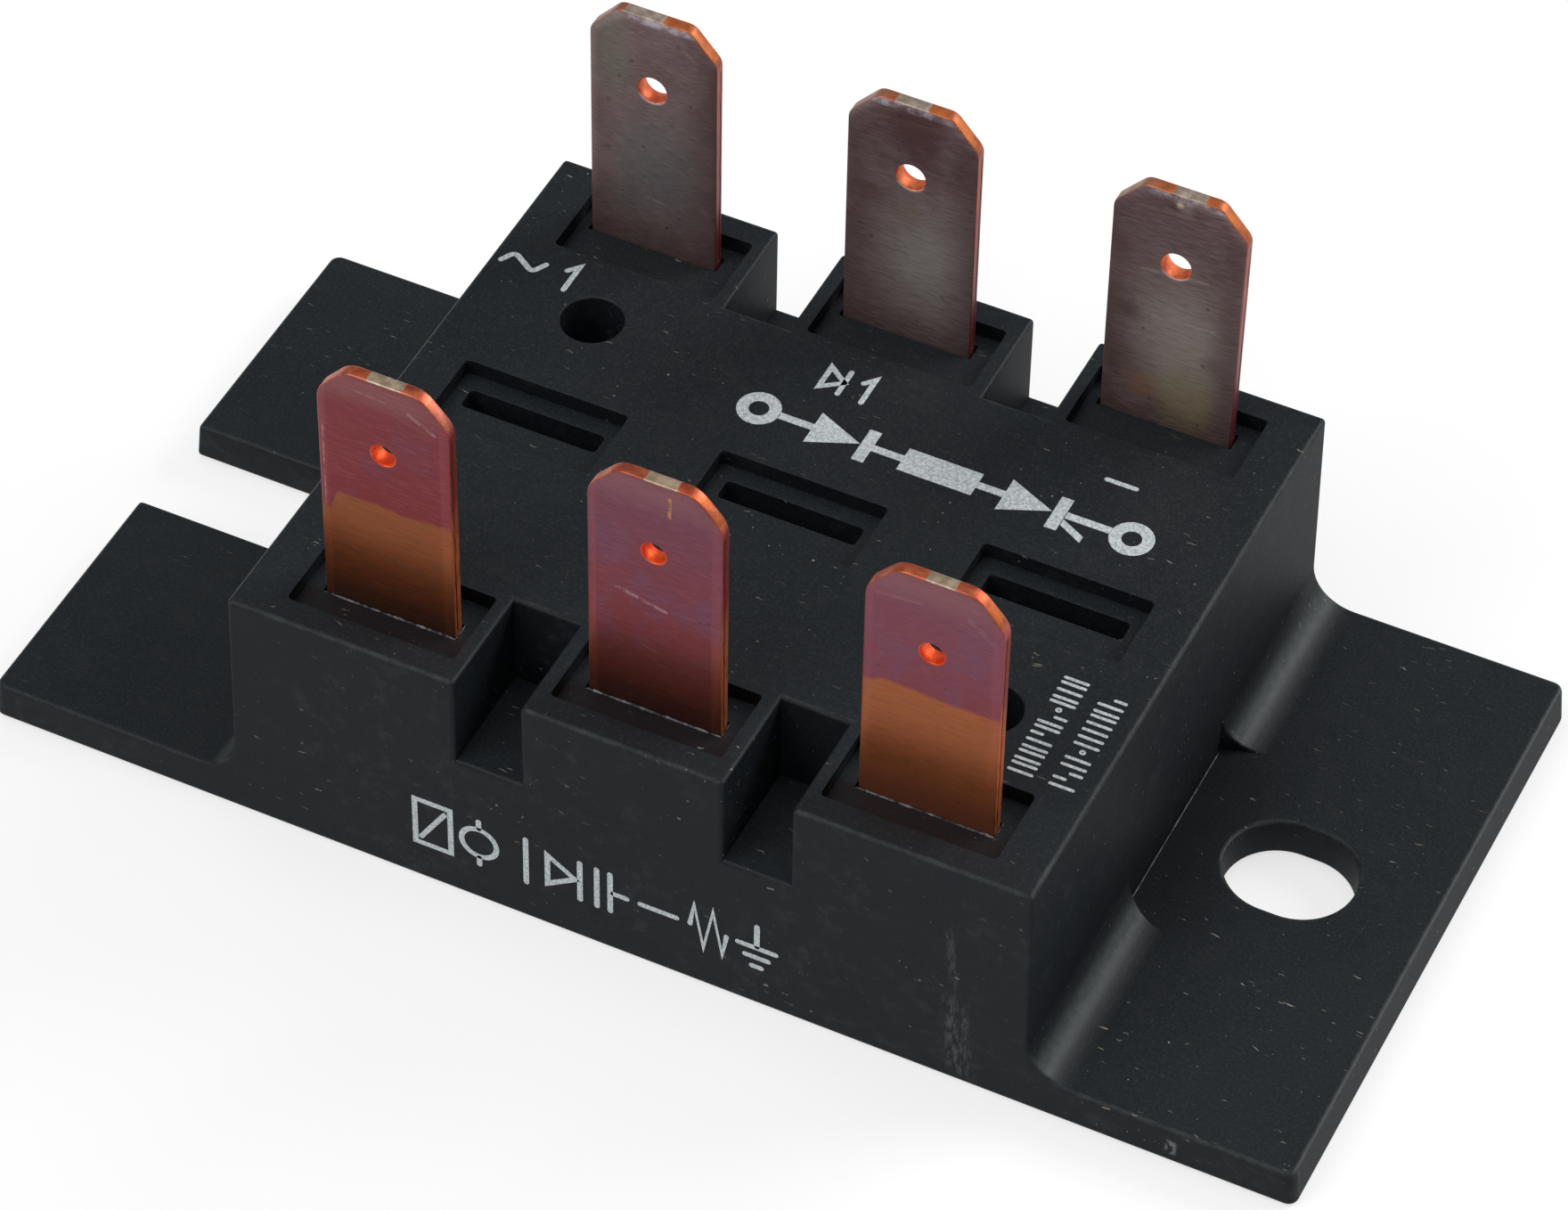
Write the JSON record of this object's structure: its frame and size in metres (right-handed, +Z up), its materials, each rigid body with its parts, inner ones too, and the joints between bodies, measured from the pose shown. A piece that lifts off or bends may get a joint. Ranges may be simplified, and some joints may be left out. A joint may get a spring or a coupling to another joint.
{
  "type": "isolated thyristor and diode power module",
  "caption": "Low black moulded power module with upright blade terminals in two rows, a metal base plate and a screw slot in each end ear.",
  "frame": {"origin": "middle of the underside of the base", "axes": "+X along the length from the open screw slot to the closed one, +Y across the width away from the marked side, +Z up along the blades"},
  "size_m": [0.0636, 0.0318, 0.0261],
  "materials": {
    "housing_plastic": "fine matt moulded thermoset, dusty, near black with a cold tint",
    "base_metal": "nickel plated copper plate, fine ground",
    "adhesive": "grey silicone bead",
    "solder": "dull solder",
    "copper": "bare copper",
    "alumina": "unglazed white alumina",
    "silicon": "polished grey silicon with metallised faces",
    "lead_wire": "tinned wire",
    "terminal_front": "heat-tinted plated copper, purple above and orange-brown below",
    "terminal_rear": "tarnished copper, brown-grey with fine horizontal brushing",
    "gel": "clear soft silicone",
    "potting": "black cast epoxy"
  },
  "bodies": {
    "root": {"housing": "housing_plastic", "base_plate": "base_metal", "plate_adhesive": "adhesive", "substrate_solder": "solder", "substrate_foil": "copper", "ceramic_tile": "alumina", "pad_ac_1": "copper", "pad_ac_2": "copper", "pad_plus": "copper", "pad_minus": "copper", "pad_gate_1": "copper", "pad_gate_2": "copper", "scr_die_1": "silicon", "scr_die_2": "silicon", "diode_die_1": "silicon", "diode_die_2": "silicon", "freewheel_die": "silicon", "die_solder": "solder", "strap_scr_1": "copper", "strap_scr_2": "copper", "strap_diode_1": "copper", "strap_diode_2": "copper", "strap_freewheel": "copper", "gate_lead_1": "lead_wire", "gate_lead_2": "lead_wire", "tab_front_left": "terminal_front", "tab_front_middle": "terminal_front", "tab_front_right": "terminal_front", "tab_rear_left": "terminal_rear", "tab_rear_middle": "terminal_rear", "tab_rear_right": "terminal_rear", "terminal_solder": "solder", "silicone_gel": "gel", "epoxy_potting": "potting"}
  },
  "joints": []
}
